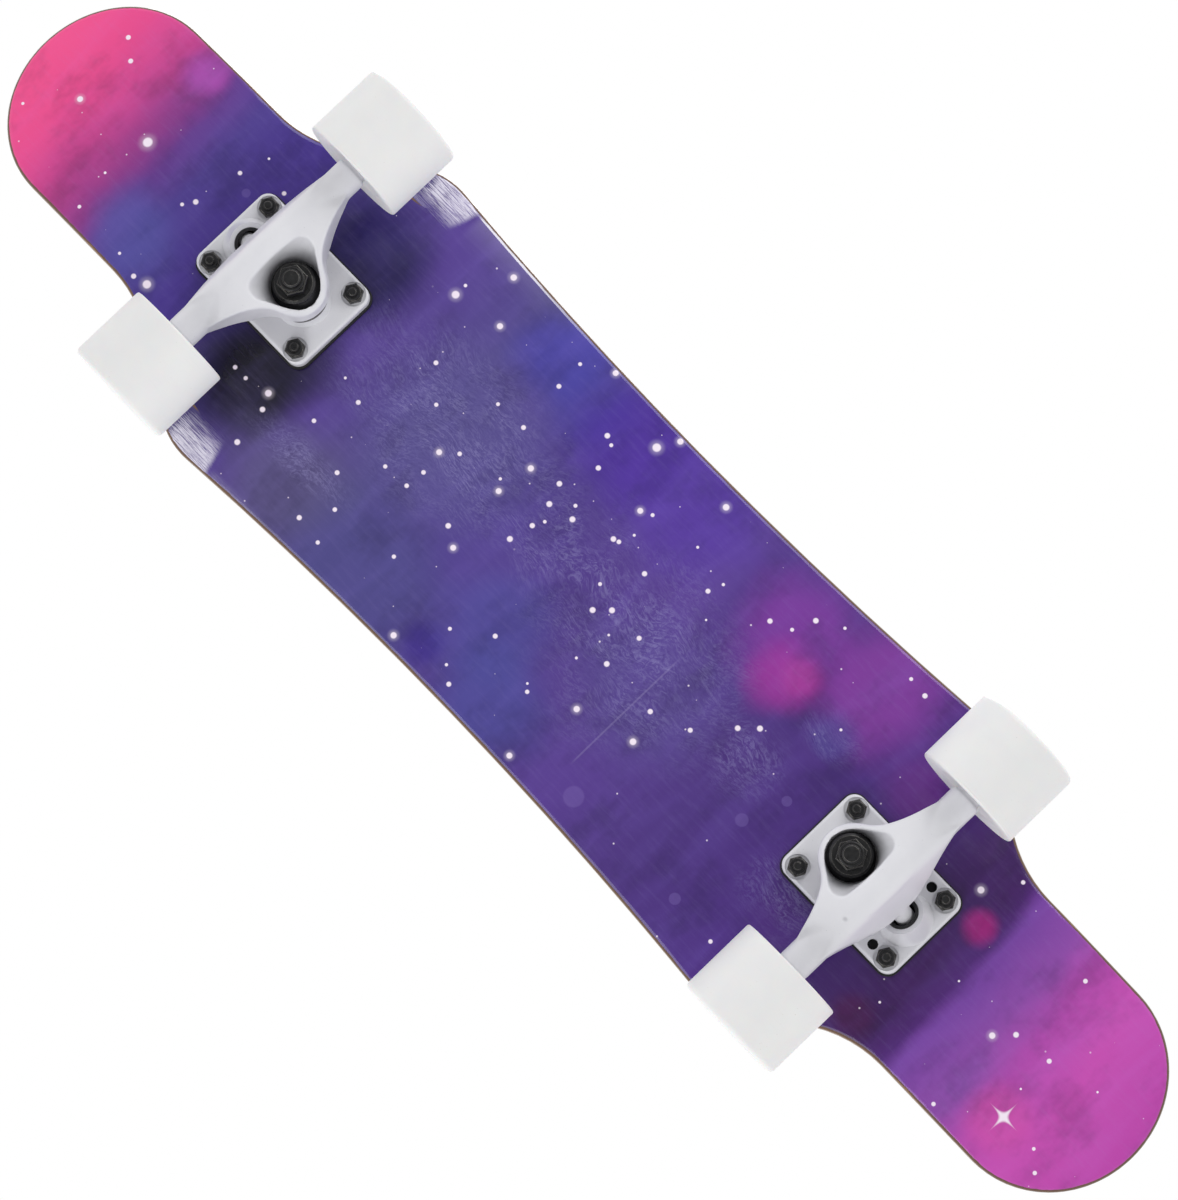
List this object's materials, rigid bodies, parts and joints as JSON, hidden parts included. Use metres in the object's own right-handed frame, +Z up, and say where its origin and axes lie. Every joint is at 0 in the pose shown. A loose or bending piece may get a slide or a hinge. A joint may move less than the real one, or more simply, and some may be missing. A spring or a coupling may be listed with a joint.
{
  "type": "skateboard",
  "caption": "Mini longboard with a cut-out double-kick maple deck on white kingpin trucks and soft white wheels.",
  "frame": {"origin": "on the ground under the middle of the deck, with the board standing on its wheels", "axes": "+X along the deck towards the front truck, +Y across the deck, +Z up"},
  "size_m": [0.812, 0.2072, 0.1203],
  "materials": {
    "maple_print": "printed and lacquered underside, bare ply edges",
    "grip": "black abrasive grit on an adhesive sheet",
    "rubber_black": "matte black rubber",
    "white_casting": "white powder coat on an aluminium casting",
    "black_hardware": "black oxide steel",
    "bushing_black": "black cast urethane",
    "pivot_plastic": "black moulded plastic",
    "bright_steel": "zinc plated steel",
    "white_urethane": "white cast urethane",
    "bearing_steel": "ground bearing steel",
    "cage_steel": "pressed steel",
    "shield_steel": "dark pressed steel"
  },
  "bodies": {
    "deck": {"deck": "maple_print", "grip_tape": "grip", "front_riser_pad": "rubber_black", "front_baseplate": "white_casting", "front_mounting_bolts": "black_hardware", "front_mounting_nuts": "black_hardware", "front_kingpin": "black_hardware", "front_boardside_bushing": "bushing_black", "front_boardside_washer": "black_hardware", "front_roadside_bushing": "bushing_black", "front_roadside_washer": "black_hardware", "front_kingpin_nut": "black_hardware", "front_pivot_cup": "pivot_plastic", "rear_riser_pad": "rubber_black", "rear_baseplate": "white_casting", "rear_mounting_bolts": "black_hardware", "rear_mounting_nuts": "black_hardware", "rear_kingpin": "black_hardware", "rear_boardside_bushing": "bushing_black", "rear_boardside_washer": "black_hardware", "rear_roadside_bushing": "bushing_black", "rear_roadside_washer": "black_hardware", "rear_kingpin_nut": "black_hardware", "rear_pivot_cup": "pivot_plastic"},
    "front_hanger_body": {"front_hanger": "white_casting", "front_axle": "bright_steel", "front_axle_nuts": "bright_steel", "front_speed_washers": "bright_steel", "front_left_bearing_inner_rings": "bearing_steel", "front_left_bearing_spacer": "bright_steel", "front_right_bearing_inner_rings": "bearing_steel", "front_right_bearing_spacer": "bright_steel"},
    "front_left_wheel_body": {"front_left_wheel": "white_urethane", "front_left_bearing_outer_rings": "bearing_steel", "front_left_bearing_shields": "shield_steel"},
    "front_left_cage_body": {"front_left_bearing_balls": "bearing_steel", "front_left_bearing_cages": "cage_steel"},
    "front_right_wheel_body": {"front_right_wheel": "white_urethane", "front_right_bearing_outer_rings": "bearing_steel", "front_right_bearing_shields": "shield_steel"},
    "front_right_cage_body": {"front_right_bearing_balls": "bearing_steel", "front_right_bearing_cages": "cage_steel"},
    "rear_hanger_body": {"rear_hanger": "white_casting", "rear_axle": "bright_steel", "rear_axle_nuts": "bright_steel", "rear_speed_washers": "bright_steel", "rear_left_bearing_inner_rings": "bearing_steel", "rear_left_bearing_spacer": "bright_steel", "rear_right_bearing_inner_rings": "bearing_steel", "rear_right_bearing_spacer": "bright_steel"},
    "rear_left_wheel_body": {"rear_left_wheel": "white_urethane", "rear_left_bearing_outer_rings": "bearing_steel", "rear_left_bearing_shields": "shield_steel"},
    "rear_left_cage_body": {"rear_left_bearing_balls": "bearing_steel", "rear_left_bearing_cages": "cage_steel"},
    "rear_right_wheel_body": {"rear_right_wheel": "white_urethane", "rear_right_bearing_outer_rings": "bearing_steel", "rear_right_bearing_shields": "shield_steel"},
    "rear_right_cage_body": {"rear_right_bearing_balls": "bearing_steel", "rear_right_bearing_cages": "cage_steel"}
  },
  "joints": [
    {"name": "front_steer", "type": "hinge", "parent": "deck", "child": "front_hanger_body", "pos_m": [0.24125, 0, 0.07], "axis": [0.8895, 0, 0.457], "range_deg": [-12, 12], "stiffness_Nm_per_rad": 25, "deforming": ["front_boardside_bushing", "front_roadside_bushing"]},
    {"name": "front_left_spin", "type": "hinge", "parent": "front_hanger_body", "child": "front_left_wheel_body", "pos_m": [0.22065, 0.0818, 0.03], "axis": [0, 1, 0], "continuous": true},
    {"name": "front_left_cage_spin", "type": "hinge", "parent": "front_hanger_body", "child": "front_left_cage_body", "pos_m": [0.22065, 0.0818, 0.03], "axis": [0, 1, 0], "continuous": true},
    {"name": "front_right_spin", "type": "hinge", "parent": "front_hanger_body", "child": "front_right_wheel_body", "pos_m": [0.22065, -0.0818, 0.03], "axis": [0, 1, 0], "continuous": true},
    {"name": "front_right_cage_spin", "type": "hinge", "parent": "front_hanger_body", "child": "front_right_cage_body", "pos_m": [0.22065, -0.0818, 0.03], "axis": [0, 1, 0], "continuous": true},
    {"name": "rear_steer", "type": "hinge", "parent": "deck", "child": "rear_hanger_body", "pos_m": [-0.24125, 0, 0.07], "axis": [0.8895, 0, -0.457], "range_deg": [-12, 12], "stiffness_Nm_per_rad": 25, "deforming": ["rear_boardside_bushing", "rear_roadside_bushing"]},
    {"name": "rear_left_spin", "type": "hinge", "parent": "rear_hanger_body", "child": "rear_left_wheel_body", "pos_m": [-0.22065, 0.0818, 0.03], "axis": [0, 1, 0], "continuous": true},
    {"name": "rear_left_cage_spin", "type": "hinge", "parent": "rear_hanger_body", "child": "rear_left_cage_body", "pos_m": [-0.22065, 0.0818, 0.03], "axis": [0, 1, 0], "continuous": true},
    {"name": "rear_right_spin", "type": "hinge", "parent": "rear_hanger_body", "child": "rear_right_wheel_body", "pos_m": [-0.22065, -0.0818, 0.03], "axis": [0, 1, 0], "continuous": true},
    {"name": "rear_right_cage_spin", "type": "hinge", "parent": "rear_hanger_body", "child": "rear_right_cage_body", "pos_m": [-0.22065, -0.0818, 0.03], "axis": [0, 1, 0], "continuous": true}
  ],
  "couplings": [
    {"joint": "front_left_cage_spin", "follows": "front_left_spin", "ratio": 0.63233},
    {"joint": "front_right_cage_spin", "follows": "front_right_spin", "ratio": 0.63233},
    {"joint": "rear_left_cage_spin", "follows": "rear_left_spin", "ratio": 0.63233},
    {"joint": "rear_right_cage_spin", "follows": "rear_right_spin", "ratio": 0.63233}
  ]
}
